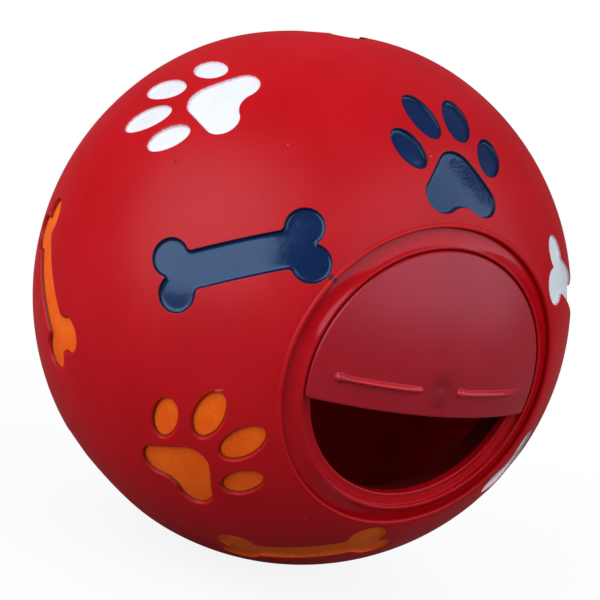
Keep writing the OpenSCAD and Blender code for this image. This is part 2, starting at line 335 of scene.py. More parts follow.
# %% Bone outline
def bone_outline():
    knob = np.array([bone_reach, knob_gap]) / 2
    notch_x = knob[0] + sqrt((knob_r + notch_r) ** 2 - knob[1] ** 2)
    to_knob = degrees(atan2(knob[1], knob[0] - notch_x))
    fillet_y = shank_w / 2 + shank_fillet_r
    fillet_x = knob[0] - sqrt((knob_r + shank_fillet_r) ** 2 - (fillet_y - knob[1]) ** 2)
    meet = degrees(atan2(fillet_y - knob[1], fillet_x - knob[0]))
    quarter = np.vstack([
        arc((notch_x, 0), notch_r, 180, to_knob, hollow=True),
        arc(knob, knob_r, to_knob - 180, meet),
        arc((fillet_x, fillet_y), shank_fillet_r, meet - 180, -90, hollow=True),
    ])
    upper = np.vstack([quarter, mirrored(quarter, 0)])
    return spaced(np.vstack([upper, mirrored(upper, 1)]))


shapes = {"bone": [bone_outline()]}
print("bone:", len(shapes["bone"][0]), "points")

# %% [markdown]
# ### Paw
# The pad is one round top over two lobes with a hollow bridge between them. The toes are ellipses that
# lean outwards, the outer pair smaller and lower than the inner pair.

# %% Paw outlines
def pad_outline():
    top, lobe = np.array([0, -pad_drop]), np.array([pad_w / 2 - pad_lobe_r, -pad_drop - pad_step])
    lean = degrees(atan2(lobe[1] - top[1], lobe[0]) + acos((pad_top_r - pad_lobe_r) / hypot(*(lobe - top))))
    rise = pad_lobe_r - pad_notch
    bridge_r = (lobe[0] ** 2 + rise ** 2 - pad_lobe_r ** 2) / (2 * pad_notch)
    bridge = np.array([0, lobe[1] - rise - bridge_r])
    meet = degrees(atan2(bridge[1] - lobe[1], -lobe[0]))
    half = np.vstack([
        arc(top, pad_top_r, 90, lean),
        arc(lobe, pad_lobe_r, lean, meet),
        arc(bridge, bridge_r, meet + 180, 90, hollow=True),
    ])
    return spaced(np.vstack([half, mirrored(half, 0)])[::-1])


def toe_outline(centre, length, width, lean):
    count = ceil(pi * (length + width) / 2 / outline_step)
    turn = np.linspace(0, 2 * pi, count, endpoint=False)
    out = np.column_stack([np.cos(turn) / width, np.sin(turn) / length])
    out /= np.linalg.norm(out, axis=1, keepdims=True)
    edge = np.column_stack([width * np.cos(turn), length * np.sin(turn)]) / 2
    c, s = cos(radians(lean)), sin(radians(lean))
    spin = np.array([[c, s], [-s, c]])
    return np.hstack([np.asarray(centre) + edge @ spin, out @ spin])


def paw_outlines():
    made = [pad_outline()]
    for side in (-1, 1):
        length, width, lean = inner_toe
        made.append(toe_outline((side * inner_toe_gap / 2, toe_step), length, width, -side * lean))
        length, width, lean = outer_toe
        made.append(toe_outline((side * outer_toe_gap / 2, 0), length, width, -side * lean))
    return made


shapes["paw"] = paw_outlines()
print("paw:", [len(line) for line in shapes["paw"]], "points")

# %% [markdown]
# ### Laying a picture on the ball
# A picture is flat as drawn. It is moved along its normals to the width that it has at a depth, lifted onto a
# sphere of that depth's radius, and turned to its place. The wall's slope gives the normals of its points.

# %% Placing and laying
def placing(picture):
    """The turn that carries a picture's plane to its place on the ball."""
    spin = Matrix.Rotation(radians(picture[4]), 3, "Z")
    spin = spin @ Matrix.Rotation(radians(picture[3]), 3, "Y")
    return np.array(spin @ Matrix.Rotation(radians(picture[5] - 90), 3, "Z"))


def widened(line, offset):
    """The flat points of an outline, moved outwards."""
    return line[:, :2] + line[:, 2:] * np.reshape(offset, (-1, 1))


def laid(line, place, offset, radius, slope):
    """A widened outline on a sphere, with the normals of a wall at that slope in degrees."""
    slope = np.reshape(slope, (-1, 1))
    flat = widened(line, offset)
    height = np.sqrt(np.broadcast_to(radius, len(flat)) ** 2 - (flat ** 2).sum(axis=1))
    points = np.column_stack([flat, height])
    up = points / np.linalg.norm(points, axis=1, keepdims=True)
    out = np.column_stack([line[:, 2:], np.zeros(len(line))])
    out -= up * (out * up).sum(axis=1, keepdims=True)
    out /= np.linalg.norm(out, axis=1, keepdims=True)
    normals = out * np.cos(np.radians(slope)) + up * np.sin(np.radians(slope))
    return points @ place.T, normals @ place.T


def domed(spots, place, radius):
    """Flat spots of a picture, lifted onto a sphere and turned to the picture's place."""
    return raised(spots, np.sqrt(radius ** 2 - (spots ** 2).sum(axis=1))) @ place.T


first_spot = domed(np.zeros((1, 2)), placing(pictures[0]), ball_r)[0]
print("the first picture's middle in the port frame:", first_spot.round(1), "mm")

# %% [markdown]
# ## Materials
# There are four kinds of surface to tell apart by eye: soft vinyl, glossy plastic, satin plastic and paint.
# A mesh takes its material when it is made, so they get their names now. Their nodes come near the
# end, where each finish can be judged on the whole object under the lights.

# %% Named materials
def new_material(name):
    material = bpy.data.materials.new(name)
    material.use_nodes = True
    return material


vinyl = new_material("soft_red_vinyl")
plug_plastic = new_material("glossy_red_port_plastic")
shutter_plastic = new_material("satin_red_shutter_plastic")
paints = {"blue": new_material("glossy_blue_paint"), "white": new_material("satin_white_paint"),
          "orange": new_material("grainy_orange_paint")}
finishes = {"vinyl": vinyl, "plug": plug_plastic, "shutter": shutter_plastic, **paints}
print("materials:", [material.name for material in finishes.values()])

# %% [markdown]
# ## The vinyl ball
# The ball is rotation moulded: liquid vinyl is tumbled in a hot mould and comes out as one hollow skin.
# The mould's raised pictures leave pockets 1 mm deep. Their rims are softly rounded, because the skin
# is pulled out of the mould while it is warm, and their feet keep a small fillet. Each pocket's wall is
# drawn as widened rows of its outline, from the skin down to its floor.
#
# The spray that paints a floor also mists the wall. Every row carries the mist's colour and strength, which
# grows with depth. On the orange pockets the wall's colour is a dark brownish red that is painted shade, and
# on the blue pockets it is paint made darker than the blue itself, partly painted shade. One orange bone
# was sprayed wetter than the others: its wall is soaked in paint.

# %% Pocket walls
rim_round, foot_round, draft = 0.36, 0.25, 18
foot_reach = -0.36
rim_reach = (foot_reach + (rim_round + foot_round) * cos(radians(draft)) + tan(radians(draft))
             * (ball_r - floor_r - (rim_round + foot_round) * (1 - sin(radians(draft)))))
# white and soaked are mists of paint; the orange is painted shade on the walls, the blue is paint darkened as
# painted shade
spray_and_shade = {"white": (0.80, 0.68, 0.76), "orange": (0.22, 0.02, 0.005), "blue": (0.005, 0.008, 0.035),
         "soaked": (0.85, 0.13, 0.012)}
spray_and_shade_share = {"white": (0.9, 3.6, -0.3), "orange": (0.95, 3.6, -0.5), "blue": (1.15, 18, 0),
               "soaked": (1.1, 3.0, -0.2)}
soaked = ("front_4_bone",)


def pocket_rows(colour):
    """Rows of offset, radius, slope and overspray, from the skin down to the pocket's floor."""
    rows = []
    for turn in np.linspace(90, 180 - draft, 6):
        out, up = cos(radians(turn)), sin(radians(turn))
        rows.append((rim_reach + rim_round * out, ball_r - rim_round * (1 - up), turn))
    for turn in np.linspace(180 - draft, 90, 4):
        out, up = cos(radians(turn)), sin(radians(turn))
        rows.append((foot_reach - foot_round * out, floor_r + foot_round * (1 - up), turn))
    made = []
    for offset, radius, slope in rows:
        depth = (ball_r - radius) / (ball_r - floor_r)
        most, steep, start = spray_and_shade_share[colour]
        share = most * min(1, max(0, steep * depth + start))
        made.append((offset, radius, slope, (*spray_and_shade[colour], share)))
    return made


def wall_offset(height):
    """How far a pocket's sloping wall lies outside its outline at a height over its floor."""
    lean = radians(draft)
    return foot_reach + foot_round * cos(lean) + (height - foot_round * (1 - sin(lean))) * tan(lean)


print(f"a wall runs from {foot_reach} to {rim_reach:.2f} mm beside its outline")

# %% [markdown]
# ### Pocket floors
# A floor is a patch of a sphere, and so are the top and the base of a paint film. One function closes any
# row with such a patch: it spreads spots inside the row's outline, joins them in the plane, and lifts
# them onto the sphere.

# %% Cutting the pockets
def cover(grown, rim, line, place, offset, radius, step, up=1):
    """Closes a row, drawn from that widened outline, with a patch of a sphere."""
    edge = widened(line, offset)
    spots = hexagons(edge.min(axis=0), edge.max(axis=0), step)
    spots = spots[inside(spots, edge)]
    spots = spots[apart(spots, edge, 0.45 * step)]
    points = domed(spots, place, radius)
    index = np.concatenate([rim, grown.row(points, up * points / radius)])
    flat = np.vstack([edge, spots])
    found = triangles(flat, [np.arange(len(edge))])
    grown.faces += index[found[inside(flat[found].mean(axis=1), edge)]].tolist()


ball = Growing()
skin_rims, taken = [], []
for picture in pictures:
    place = placing(picture)
    for line in shapes[picture[1]]:
        row = None
        for offset, radius, slope, tint in pocket_rows("soaked" if picture[0] in soaked else picture[2]):
            before, row = row, ball.row(*laid(line, place, offset, radius, slope), tint)
            if before is None:
                skin_rims.append(row)
                taken.append((place, widened(line, rim_reach)))
            else:
                ball.join(before, row)
        cover(ball, row, line, place, foot_reach, floor_r, 2.0)
print(len(skin_rims), "pockets,", ball.count, "points so far")

# %% [markdown]
# ### Turned forms
# The lip, the cavity and the plug are round about the port's axis, as if turned on a lathe. Their
# profiles are given by corners with a rounding each, since no moulded edge is sharp, and a profile
# keeps its normals, so that a rounding of a few steps already shades as a true arc.

# %% Lathe and profiles
def lathe(grown, profile, count, tint=(0, 0, 0, 0), closed=False):
    """Turns a profile of radius, height and normal about the port axis, and returns its end rows."""
    spokes = circle(1, count)
    rows = [grown.row(raised(radius * spokes, height), raised(out * spokes, up), tint)
            for radius, height, out, up in profile]
    grown.join(*rows)
    if closed:
        grown.join(rows[-1], rows[0])
    return rows[0], rows[-1]


def rounded(corners, closed=False, steps=4):
    """A profile through corners of radius, height and rounding, with normals on the right of its run."""
    made = []
    count = len(corners)
    for i, (x, y, r) in enumerate(corners):
        here = np.array([x, y])
        back = here - np.array(corners[i - 1][:2])
        ahead = np.array(corners[(i + 1) % count][:2]) - here
        back, ahead = back / np.linalg.norm(back), ahead / np.linalg.norm(ahead)
        if not closed and i in (0, count - 1):
            run = ahead if i == 0 else back
            made.append((x, y, run[1], -run[0]))
            continue
        bend = atan2(back[0] * ahead[1] - back[1] * ahead[0], back @ ahead)
        hand = 1 if bend > 0 else -1
        side = np.array([-back[1], back[0]]) * hand
        centre = here - back * (r * tan(abs(bend) / 2)) + side * r
        for share in np.linspace(0, 1, steps + 1):
            c, s = cos(bend * share), sin(bend * share)
            spoke = np.array([s * side[1] - c * side[0], -s * side[0] - c * side[1]])
            made.append((*(centre + r * spoke), *(spoke * hand)))
    return made


def turned(centre_r, centre_z, radius, start, end, steps):
    """An arc of a profile, bulging outwards."""
    spokes = [(cos(radians(a)), sin(radians(a))) for a in np.linspace(start, end, steps + 1)]
    return [(centre_r + radius * out, centre_z + radius * up, out, up) for out, up in spokes]


print("a corner with a rounding takes", len(rounded([(0, 0, 0), (1, 0, 0.2), (1, 1, 0)])) - 2, "rows")

# %% [markdown]
# ### The lip round the port
# The lip is moulded thicker and turned inwards. The plug stretches it a little, so it lies tight on the
# plug's flange and stands up as a small soft crown, with a shallow groove round its foot. The crown
# catches a thin line of light all round the port. It could be one more rounded corner, but only a curve
# that swells from the skin leaves no kink in that line, so the crown and the groove are two soft bells
# added to the sphere.

# %% Lip
seal_r = flange_r + 0.02
crown_round, crown_raise, crown_wide = 0.4, 0.08, 0.3
groove_deep, groove_wide, groove_away = 0.07, 0.14, 0.56
crown_reach = 0.84
crown_centre_r = seal_r + crown_round
crown_centre_z = sqrt((ball_r + crown_raise - crown_round) ** 2 - crown_centre_r ** 2)
crown_turn = degrees(atan2(crown_centre_z, crown_centre_r))


def crown_rows():
    """The skin from beyond the groove up to the top of the lip's crown, with its normals."""
    away = np.linspace(crown_reach, 0, 13)
    high = ball_r + crown_raise * np.exp(-(away / crown_wide) ** 2)
    high = high - groove_deep * np.exp(-((away - groove_away) / groove_wide) ** 2)
    turn = radians(crown_turn) - away / ball_r
    line = np.column_stack([high * np.cos(turn), high * np.sin(turn)])
    run = np.gradient(line, axis=0)
    run /= np.linalg.norm(run, axis=1, keepdims=True)
    return [(x, z, t[1], -t[0]) for (x, z), t in zip(line, run)]


crown_line = crown_rows()
lip = crown_line[:-1] + turned(crown_centre_r, crown_centre_z, crown_round, crown_turn, 180, 10)
print(f"the crown ends {crown_centre_r - crown_round:.2f} mm from the axis and {lip[0][1]:.2f} mm up")

# %% [markdown]
# ### The bore and the cavity
# Behind the crown the lip steps inwards to hold the plug's waist. Behind the lip the cavity is a plain
# sphere. Its rows carry a tint of their own, so that the vinyl looks raw and deep red in there.

# %% Bore and cavity
around = 300
inside_tint = (0.9, 0.05, 0.05, 1)
cavity_edge_r = sqrt(inner_r ** 2 - lip_z ** 2)
bore = rounded([(seal_r, crown_centre_z, 0), (seal_r, rebate_z, 0.15), (lip_bore_r, rebate_z, 0.3),
                (lip_bore_r, lip_z, 0.4), (cavity_edge_r, lip_z, 0)])[1:]
cavity = [(inner_r * sin(radians(a)), inner_r * cos(radians(a)), -sin(radians(a)), -cos(radians(a)))
          for a in np.linspace(degrees(asin(cavity_edge_r / inner_r)), 178, 44)[1:]]
skin_edge, _ = lathe(ball, lip + bore, around)
_, last = lathe(ball, [bore[-1]] + cavity, around, inside_tint)
ball.fan(last, (0, 0, -inner_r), (0, 0, 1), inside_tint)
print("lip and cavity:", ball.count, "points")

# %% [markdown]
# ### Spots on the skin
# A grid of rings and spokes would crowd at the poles. Spots set by the golden angle are even all over the
# ball, and leave no seam. Those over a pocket, over the port or too close to a rim are dropped.

# %% Skin spots
spread, lip_clear, rim_clear, picture_reach = 1.35, 0.5, 0.55, 20
amount = int(4 * pi * ball_r ** 2 / (spread ** 2 * sqrt(3) / 2))
order = np.arange(amount) + 0.5
high = 1 - 2 * order / amount
golden = pi * (1 + sqrt(5)) * order
ring = np.sqrt(1 - high ** 2)
skin = np.column_stack([np.cos(golden) * ring, np.sin(golden) * ring, high]) * ball_r
skin = skin[skin[:, 2] < crown_line[0][1] - lip_clear]
for place, edge in taken:
    flat = skin @ place
    near = (flat[:, 2] > 0) & (np.abs(flat[:, :2]) < picture_reach).all(axis=1)
    drop = np.zeros(len(skin), bool)
    drop[near] = inside(flat[near, :2], edge)
    skin = skin[~drop]
rims = np.concatenate(skin_rims + [skin_edge])
skin = skin[apart(skin, np.vstack(ball.points)[rims], rim_clear)]
print(len(skin), "of", amount, "spots kept")

# %% [markdown]
# ### Joining the skin
# Delaunay triangles need a plane. The map seen from the port's pole keeps circles as circles, so the best
# triangles on it are also the best on the ball, and the port's rim becomes its outer edge. Triangles
# that would roof over a pocket, or lie outside the port's rim, are taken away at the end.

# %% Skin
index = np.concatenate([rims, ball.row(skin, skin / ball_r)])
every = np.vstack(ball.points)[index]
flat_map = every[:, :2] / (ball_r - every[:, 2:])
loops = following(skin_rims + [skin_edge])
found = triangles(flat_map, loops)
which = np.full(len(index), -1)
for i, loop in enumerate(loops):
    which[loop] = i
owner = which[found]
same = (owner[:, 0] >= 0) & (owner == owner[:, :1]).all(axis=1)
drop = same & (owner[:, 0] == len(skin_rims))
for i, (place, edge) in enumerate(taken):
    mine = np.flatnonzero(same & (owner[:, 0] == i))
    middle = every[found[mine]].mean(axis=1) @ place
    drop[mine[inside(middle[:, :2], edge)]] = True
ball.faces += index[found[~drop]].tolist()
vinyl_ball = ball.object("vinyl_ball", vinyl, "ball", "ball_shell", "soft_vinyl", soft=True)
print("vinyl ball:", len(vinyl_ball.data.vertices), "points,", len(vinyl_ball.data.polygons), "faces")

# %% [markdown]
# ## The paint in the pockets
# The pictures are sprayed through a mask. The blue and the white flood the pocket's floor and creep up the
# foot of the wall, higher in some places than in others. Their surface bends up in a soft curve, as wet
# paint does at a wall, and that curve catches a thin line of light. The orange dries before it reaches
# the wall, so a line of bare red shows round it, except on the soaked bone, which floods as the blue does.
#
# Each coat is a thin closed film that sits in its pocket. Its edge rows are told how near the edge they
# are, for the finish to thin the colour there.

# %% Edges of the coats
creep, creep_wide = {"blue": 0.42, "white": 0.42, "orange": 0.5}, 0.24
creep_rows = (0, 0.06, 0.13, 0.22, 0.34, 0.5, 0.8)
dry_edge, dry_gap = 0.2, (-0.03, 0.14)


def creeping(line, low, high, seed):
    """How far the paint climbs the wall at each point of an outline, never the same twice."""
    share = np.linspace(0, 2 * pi, len(line), endpoint=False)
    wave = sum(np.sin(k * share + seed * (1.7 + 0.9 * k)) / k for k in (1, 2, 3, 5, 8))
    return low + (high - low) * (0.5 + 0.5 * wave / 1.9)


def wet_rows(film, line, place, climb):
    """Rows of a coat that floods the floor and climbs the wall, and its top edge's offset."""
    top_r, meet, edge_tint = floor_r + paint_t, wall_offset(paint_t + climb), (0, 0, 0, 1)
    rows = [film.row(*laid(line, place, wall_offset(0.3) + 0.05, floor_r + 0.3, 0), edge_tint)]
    rows.append(film.row(*laid(line, place, meet + 0.05, top_r + climb + 0.03, 45), edge_tint))
    for away in creep_rows:
        left = climb * np.exp(-away / creep_wide)
        slope = 90 + np.degrees(np.arctan(left / creep_wide))
        tint = (0, 0, 0, max(0, 1 - 2 * away))
        rows.append(film.row(*laid(line, place, meet - away, top_r + left, slope), tint))
    return rows, meet - creep_rows[-1]


def dry_rows(film, line, place, gap):
    """Rows of a coat that dries before it reaches the wall, and its top edge's offset."""
    rows, edge = [], foot_reach + foot_round - gap
    for turn in np.linspace(0, 90, 5):
        offset = edge - dry_edge * (1 - cos(radians(turn)))
        radius = floor_r + paint_t - dry_edge * (1 - sin(radians(turn)))
        rows.append(film.row(*laid(line, place, offset, radius, turn), (0, 0, 0, 0.9 - turn / 180)))
    return rows, edge - dry_edge


climbs = creeping(shapes["bone"][0], 0.12, creep["blue"], 0)
print(f"on one bone the paint climbs {climbs.min():.2f} to {climbs.max():.2f} mm")

# %% [markdown]
# ### One film for each picture
# A paw's film has five islands, which stay one piece, because they come from one mask. The film's base lies
# a little under the pocket's floor, so that no gap can show at a thin edge.

# %% Paint films
buried, base_inset = 0.05, -0.8


def paint_film(picture, seed):
    name, shape, colour = picture[:3]
    place, film = placing(picture), Growing()
    for part, line in enumerate(shapes[shape]):
        if colour == "orange" and name not in soaked:
            rows, edge = dry_rows(film, line, place, creeping(line, *dry_gap, seed + part))
        else:
            rows, edge = wet_rows(film, line, place, creeping(line, 0.12, creep[colour], seed + part))
        film.join(*rows)
        cover(film, rows[-1], line, place, edge, floor_r + paint_t, 1.0)
        low = film.row(*laid(line, place, foot_reach - 0.25, floor_r - buried, -45))
        base = film.row(*laid(line, place, base_inset, floor_r - buried, -90))
        film.join(base, low, rows[0])
        cover(film, base, line, place, base_inset, floor_r - buried, 2.5, up=-1)
    return film.object("film_" + name, paints[colour], "ball", "paint_" + name, colour + "_paint", soft=True)


films = [paint_film(picture, seed) for seed, picture in enumerate(pictures)]
print(len(films), "paint films,", sum(len(f.data.polygons) for f in films), "faces")

# %% [markdown]
# ## The port plug
# One injection moulding: a glossy sloping band, a narrow crest, the ledge that the shutter rides on, the
# throat, and a collar that ends in a snap bead behind the vinyl lip. Its corners are rounded as the
# moulding tool leaves them, and they draw the thin bright rings that the eye reads as the port's outline.
#
# The band and the ledge look straight in a section, but straight faces would mirror one flat tone. The
# plastic shrinks as it cools and hollows them a little, which bends their reflections. Each hollow is
# one more corner of the profile, with a very large rounding.

# %% Plug profile
plug = Growing()
# the tint of the plug's inner walls paints them dark as painted shade inside the throat
inner_shade_tint, band_lift, band_sag, seat_sag = (0, 0, 0, 1), 0.4, 0.34, 0.25
tip_r, inner_shade_z = waist_r - 0.05, seat_under_z + 0.6
outside = rounded([
    (tip_r, port_end_z, 0), (bead_r, bead_z, 0.2), (waist_r, bead_z, 0.15), (waist_r, rebate_z, 0.15),
    (flange_r, rebate_z, 0.2), (flange_r, band_z + band_lift, 0.12),
    ((flange_r + crest_r) / 2 - band_sag, (band_z + band_lift + crest_z) / 2 - band_sag, 6.0),
    (crest_r, crest_z, 0.28), (seat_r, crest_z, 0.22), (seat_r, seat_z, 0.12),
    ((seat_r + throat_r) / 2, seat_z - seat_sag, 2.0), (throat_r, seat_z, 0.34), (throat_r, inner_shade_z, 0),
])
within = rounded([(throat_r, inner_shade_z, 0), (throat_r, seat_under_z, 0.3), (collar_r, seat_under_z, 0.5),
                  (collar_r, port_end_z, 0.25), (tip_r, port_end_z, 0)])
outer_foot, throat_edge = lathe(plug, outside, 256)
inner_top, inner_foot = lathe(plug, within, 256, inner_shade_tint)
plug.join(throat_edge, inner_top)
plug.join(inner_foot, outer_foot)
print("plug rings:", plug.count, "points")

# %% [markdown]
# ### Outline of a half disc
# The fixed half dome and the shutter are both discs cut by a straight edge, with two rounded corners. One
# outline serves both, and draws itself inwards for the rows of a rounded rim.

# %% Half disc
def half_disc(radius, edge, corner, inset, fine):
    """Closed outline of a disc cut by a straight edge below its centre, drawn in by inset."""
    spot_y = corner - edge
    spot_x = sqrt((radius - corner) ** 2 - spot_y ** 2)
    tip = max(corner - inset, 0.02)
    lean = degrees(atan2(spot_y, spot_x))
    steps = ceil(radians(180 - 2 * lean) * radius / fine)
    quarter = np.radians(np.linspace(-90, lean, 9))
    sweep = np.radians(np.linspace(lean, 180 - lean, steps + 1))[1:-1]
    right = np.column_stack([spot_x + tip * np.cos(quarter), spot_y + tip * np.sin(quarter)])
    back = np.column_stack([(radius - inset) * np.cos(sweep), (radius - inset) * np.sin(sweep)])
    left = right[::-1] * (-1, 1)
    straight = np.linspace(-spot_x, spot_x, ceil(2 * spot_x / fine) + 1)[1:-1]
    bottom = np.column_stack([straight, np.full(len(straight), -edge + inset)])
    return np.vstack([right, back, left, bottom])


print("a half disc like the shutter's has", len(half_disc(shutter_r, shutter_edge, 0.7, 0, 0.35)), "points")

# %% [markdown]
# ### Surfaces as functions
# Each surface of a sheet is a function of the place, so a rib or a hollow is only one more term of its
# height, and its normals come from the function's slope.

# %% Heights and slopes
def dome_height(radius):
    """The height of a dome of that radius, as a function of the place."""
    return lambda p: dome_z + np.sqrt(radius ** 2 - (p ** 2).sum(axis=1))


def leaning(height, points, size=0.004):
    """Upward normals of a height function at 2D points."""
    dx = (height(points + (size, 0)) - height(points - (size, 0))) / (2 * size)
    dy = (height(points + (0, size)) - height(points - (0, size))) / (2 * size)
    n = np.column_stack([-dx, -dy, np.ones(len(points))])
    return n / np.linalg.norm(n, axis=1, keepdims=True)


def sideways(outline):
    """Outward normals of a closed outline that runs anticlockwise."""
    run = np.roll(outline, -1, axis=0) - np.roll(outline, 1, axis=0)
    n = raised(np.column_stack([run[:, 1], -run[:, 0]]), 0)
    return n / np.linalg.norm(n, axis=1, keepdims=True)


dome_top = dome_height(dome_r)(np.zeros((1, 2)))[0]
print(f"the top of the shutter's dome lies {dome_top:.2f} mm from the ball's centre")

# %% [markdown]
# ### Curved sheets
# The fixed half dome and the shutter are thin sheets with a cut edge, made in the same way. An outline is
# lifted onto the top surface, runs over a rounded rim, and ends on the underside. Then both surfaces
# are filled with spots.

# %% Rims and sheets
# slopes in degrees of the rows over a rim and under it
over_rim, under_rim = np.linspace(90, 0, 6), np.linspace(0, -90, 3)


def rim_rows(grown, shape, top, bottom, rounding, foot):
    """Rows round the edge of a sheet, from its top surface over its rim to its underside."""
    rows = []
    for turn in over_rim:
        plan = shape(rounding * (1 - cos(radians(turn))))
        z = top(plan) - rounding * (1 - sin(radians(turn)))
        n = leaning(top, plan) * sin(radians(turn)) + sideways(plan) * cos(radians(turn))
        rows.append(grown.row(raised(plan, z), n))
    for turn in under_rim:
        plan = shape(foot * (1 - cos(radians(turn))))
        z = bottom(plan) + foot * (1 + sin(radians(turn)))
        n = sideways(plan) * cos(radians(turn)) + leaning(bottom, plan) * sin(radians(turn))
        rows.append(grown.row(raised(plan, z), n))
    grown.join(*rows)
    return rows[0], rows[-1]


def patch(grown, outer, holes, extra, height, step, upward=True):
    """A curved sheet inside an outline's row and round the rows of its holes."""
    frames = [outer] + holes
    every = np.vstack(grown.points)
    rim = [every[row][:, :2] for row in frames]
    spots = hexagons(rim[0].min(axis=0), rim[0].max(axis=0), step)
    spots = spots[inside(spots, rim[0])]
    for hole in rim[1:]:
        spots = spots[~inside(spots, hole)]
    spots = spots[apart(spots, np.vstack(rim), 0.6 * step)]
    if extra is not None:
        spots = np.vstack([spots[apart(spots, extra, 0.5 * step)], extra])
    sign = 1 if upward else -1
    own = grown.row(raised(spots, height(spots)), sign * leaning(height, spots))
    index = np.concatenate(frames + [own])
    flat = np.vstack(rim + [spots])
    found = triangles(flat, following(frames))
    middle = flat[found].mean(axis=1)
    keep = inside(middle, rim[0])
    for hole in rim[1:]:
        keep &= ~inside(middle, hole)
    grown.faces += index[found[keep]].tolist()


print("a sheet's rim has", len(over_rim) + len(under_rim), "rows")

# %% [markdown]
# ### The fixed half dome
# A half dome closes one half of the throat, just under the shutter, and carries a boss for the shutter's
# pin. With the shutter turned over it, half of the port is open. The sheet has a hole for the pin, and
# the boss is one closed turned ring below it.

# %% Fixed half dome
def plate_shape(inset):
    return half_disc(plate_reach, plate_edge, corner=0.6, inset=inset, fine=0.5)


plate_top, plate_under = dome_height(plate_r), dome_height(plate_inner_r)
first, last = rim_rows(plug, plate_shape, plate_top, plate_under, rounding=0.25, foot=0.12)
hole = circle(bore_r, 72)
top_hole = plug.row(raised(hole, plate_top(hole)), leaning(plate_top, hole))
low_hole = plug.row(raised(hole, plate_under(hole)), -leaning(plate_under, hole))
plug.join(top_hole, low_hole)
patch(plug, first, [top_hole], None, plate_top, step=1.3)
patch(plug, last, [low_hole], None, plate_under, step=1.6, upward=False)
boss_top = dome_z + sqrt(plate_r ** 2 - boss_r ** 2) - 0.05
boss = rounded([(bore_r, boss_z, 0.15), (bore_r, boss_top, 0.1),
                (boss_r, boss_top, 0.2), (boss_r, boss_z, 0.3)], closed=True)
lathe(plug, boss, 96, closed=True)
port_plug = plug.object("port_plug", plug_plastic, "ball", "port_insert", "port_plastic")
print("port plug:", len(port_plug.data.polygons), "faces")

# %% [markdown]
# ## The shutter
# A thin half dome with two finger ribs. The ribs have a round back and swell at their left ends, and they
# fade where they meet the dome. The plastic is thicker over the snap pin, so it shrinks there as it
# cools and leaves two faint hollows beside the ribs' line.
#
# Ribs could be pieces of their own, laid on the dome, but a moulded rib has no joint line. So they are part
# of the dome's height, with rows of spots close together where their sides are steep.

# %% Ribs and hollows
rib_near, rib_far, rib_high, rib_half = 4.7, 21.0, 1.0, 0.72
# across and up from the port's middle, half width and half height, and depth, all in mm
sinks = [(0.2, 0.9, 1.5, 1.1, 0.26), (0.2, -3.5, 1.2, 0.8, 0.2)]


def rib_away(p):
    """Distance to the nearer rib's middle line, shortened at its left end, which swells."""
    x = p[:, 0]
    along = np.sign(x) * np.clip(np.abs(x), rib_near, rib_far)
    swell = 1 + 0.4 * (np.exp(-((x - rib_near) / 0.9) ** 2) + np.exp(-((x + rib_far) / 0.9) ** 2))
    return np.hypot(x - along, p[:, 1]) / swell


def eased(share):
    """A share from 0 to 1 that starts and ends softly."""
    share = np.clip(share, 0, 1)
    return share ** 2 * (3 - 2 * share)


def cap_height(p):
    """The dome, with the ribs on it and the hollows in it."""
    x, y = p[:, 0], p[:, 1]
    share = np.clip(rib_away(p) / rib_half, 0, 1)
    fade = 1 - 0.8 * eased((x - 16.0) / 5.0) - 0.35 * eased((x + 8.0) / 3.3) * (x < 0)
    rib = rib_high * (1 - share ** 2) * fade
    sink = sum(deep * np.exp(-((x - sink_x) / wide) ** 2 - ((y - sink_y) / long) ** 2)
               for sink_x, sink_y, wide, long, deep in sinks)
    return dome_height(dome_r)(p) + rib - sink


def cap_under(p):
    """The dome's underside, which ends on the plane that rides on the plug's ledge."""
    return np.maximum(shutter_z, dome_height(dome_inner_r)(p))


middles = np.array([((rib_near + rib_far) / 2, 0), (0, sinks[0][1])])
print("rib and hollow over the dome:", (cap_height(middles) - dome_height(dome_r)(middles)).round(2), "mm")

# %% [markdown]
# ### Top and underside
# The rows beside the ribs are given as extra spots, and so is a fine grid over each hollow. Spots that
# nearly coincide are merged, because Delaunay triangles between them would be slivers.

# %% Shutter dome
rib_fine, end_wide = 0.25, 1.16


def rib_rows():
    """Points in rows beside each rib, close together where its sides are steep."""
    rows = []
    straight = np.arange(rib_near, rib_far, rib_fine)
    for away in (0, 0.1, 0.2, 0.3, 0.4, 0.5, 0.6, 0.68, 0.76, 0.9, 1.1):
        if away == 0:
            edge = np.column_stack([straight, np.zeros(len(straight))])
        else:
            bow = np.linspace(-pi / 2, pi / 2, ceil(pi * away / rib_fine) + 1)
            out = away * end_wide * np.column_stack([np.cos(bow), np.sin(bow)])
            sides = [np.column_stack([straight, np.full(len(straight), side * away)]) for side in (-1, 1)]
            edge = np.vstack([out + (rib_far, 0), out * (-1, 1) + (rib_near, 0), *sides])
        rows += [edge, edge * (-1, 1)]
    every = np.vstack(rows)
    cell = np.round(every / 0.08).astype(int)
    return every[np.unique(cell, axis=0, return_index=True)[1]]


def cap_shape(inset):
    return half_disc(shutter_r, shutter_edge, corner=0.7, inset=inset, fine=0.35)


cap = Growing()
first, last = rim_rows(cap, cap_shape, cap_height, cap_under, rounding=0.5, foot=0.12)
dimples = np.vstack([hexagons((x - 3, y - 2), (x + 3, y + 2), 0.4) for x, y, *_ in sinks])
dimples = dimples[inside(dimples, cap_shape(0.5))]
close = rib_rows()
dimples = dimples[apart(dimples, close, 0.25)]
patch(cap, first, [], np.vstack([close, dimples]), cap_height, step=0.9)
patch(cap, last, [], None, cap_under, step=1.3, upward=False)
print("shutter dome:", cap.count, "points")

# %% [markdown]
# ### Split pin and gate mark
# The pin is split, so that its two halves spring together while they pass the boss and open behind it. It
# is seen only through the open port, but the shutter hangs on it. Where the plastic entered the mould, a
# small nub stays on the shutter's straight edge.

